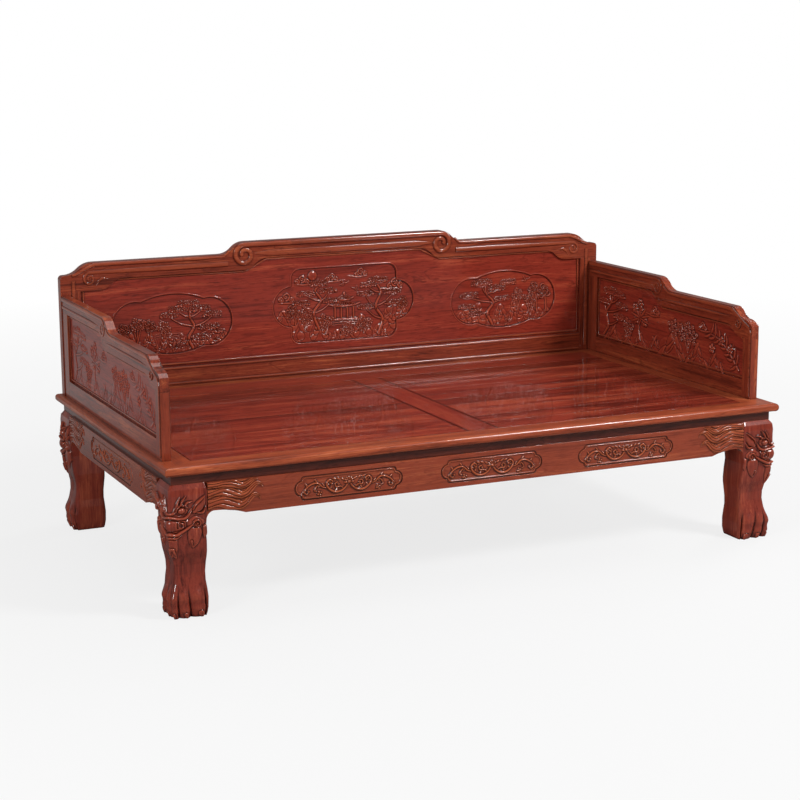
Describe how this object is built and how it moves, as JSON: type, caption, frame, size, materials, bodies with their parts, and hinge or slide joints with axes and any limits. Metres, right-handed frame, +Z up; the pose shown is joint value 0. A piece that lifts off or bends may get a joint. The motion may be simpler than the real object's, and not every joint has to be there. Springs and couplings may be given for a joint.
{
  "type": "luohan daybed",
  "caption": "Chinese daybed: waisted platform on claw-foot legs with aprons, drop-in deck panels and three lift-off carved railings.",
  "frame": {"origin": "on the floor under the middle of the seat lip", "axes": "+X to the right along the bed's length, +Y to the back railing, +Z up; the front faces -Y"},
  "size_m": [2.22, 1.28, 0.993],
  "materials": {
    "deck": "glossy lacquered rosewood",
    "frame": "glossy lacquered rosewood",
    "panel": "satin lacquered rosewood",
    "apron": "satin lacquered rosewood",
    "leg": "satin lacquered rosewood",
    "inner_wood": "plain rosewood"
  },
  "bodies": {
    "base": {"apron_front": "apron", "apron_left": "apron", "apron_rear": "apron", "apron_right": "apron", "centre_rail": "deck", "leg_front_left": "leg", "leg_front_right": "leg", "leg_rear_left": "leg", "leg_rear_right": "leg", "rear_board": "deck", "seam_bearer_left": "inner_wood", "seam_bearer_right": "inner_wood", "seat_rail_front": "deck", "seat_rail_left": "deck", "seat_rail_rear": "deck", "seat_rail_right": "deck", "waist_front": "apron", "waist_left": "apron", "waist_rear": "apron", "waist_right": "apron"},
    "back_railing": {"back_batten_centre": "inner_wood", "back_batten_left": "inner_wood", "back_batten_right": "inner_wood", "back_board": "panel", "back_bottom_rail": "frame", "back_post_left": "frame", "back_post_right": "frame", "back_top_rail": "frame"},
    "left_railing": {"hanging_key_left": "inner_wood", "side_board_left": "panel", "side_bottom_rail_left": "frame", "side_front_post_left": "frame", "side_rear_post_left": "frame", "side_top_rail_left": "frame"},
    "right_railing": {"hanging_key_right": "inner_wood", "side_board_right": "panel", "side_bottom_rail_right": "frame", "side_front_post_right": "frame", "side_rear_post_right": "frame", "side_top_rail_right": "frame"},
    "deck_panel_front_left": {"deck_battens_front_left": "inner_wood", "deck_boards_front_left": "deck"},
    "deck_panel_front_right": {"deck_battens_front_right": "inner_wood", "deck_boards_front_right": "deck"},
    "deck_panel_rear_left": {"deck_battens_rear_left": "inner_wood", "deck_boards_rear_left": "deck"},
    "deck_panel_rear_right": {"deck_battens_rear_right": "inner_wood", "deck_boards_rear_right": "deck"}
  },
  "joints": [
    {"name": "back_railing_lift", "type": "slide", "parent": "base", "child": "back_railing", "axis": [0, 0, 1], "range_m": [0, 0.06]},
    {"name": "left_railing_lift", "type": "slide", "parent": "back_railing", "child": "left_railing", "axis": [0, 0, 1], "range_m": [0, 0.07]},
    {"name": "right_railing_lift", "type": "slide", "parent": "back_railing", "child": "right_railing", "axis": [0, 0, 1], "range_m": [0, 0.07]},
    {"name": "deck_panel_front_left_lift", "type": "slide", "parent": "base", "child": "deck_panel_front_left", "axis": [0, 0, 1], "range_m": [0, 0.06]},
    {"name": "deck_panel_front_right_lift", "type": "slide", "parent": "base", "child": "deck_panel_front_right", "axis": [0, 0, 1], "range_m": [0, 0.06]},
    {"name": "deck_panel_rear_left_lift", "type": "slide", "parent": "base", "child": "deck_panel_rear_left", "axis": [0, 0, 1], "range_m": [0, 0.06]},
    {"name": "deck_panel_rear_right_lift", "type": "slide", "parent": "base", "child": "deck_panel_rear_right", "axis": [0, 0, 1], "range_m": [0, 0.06]}
  ]
}
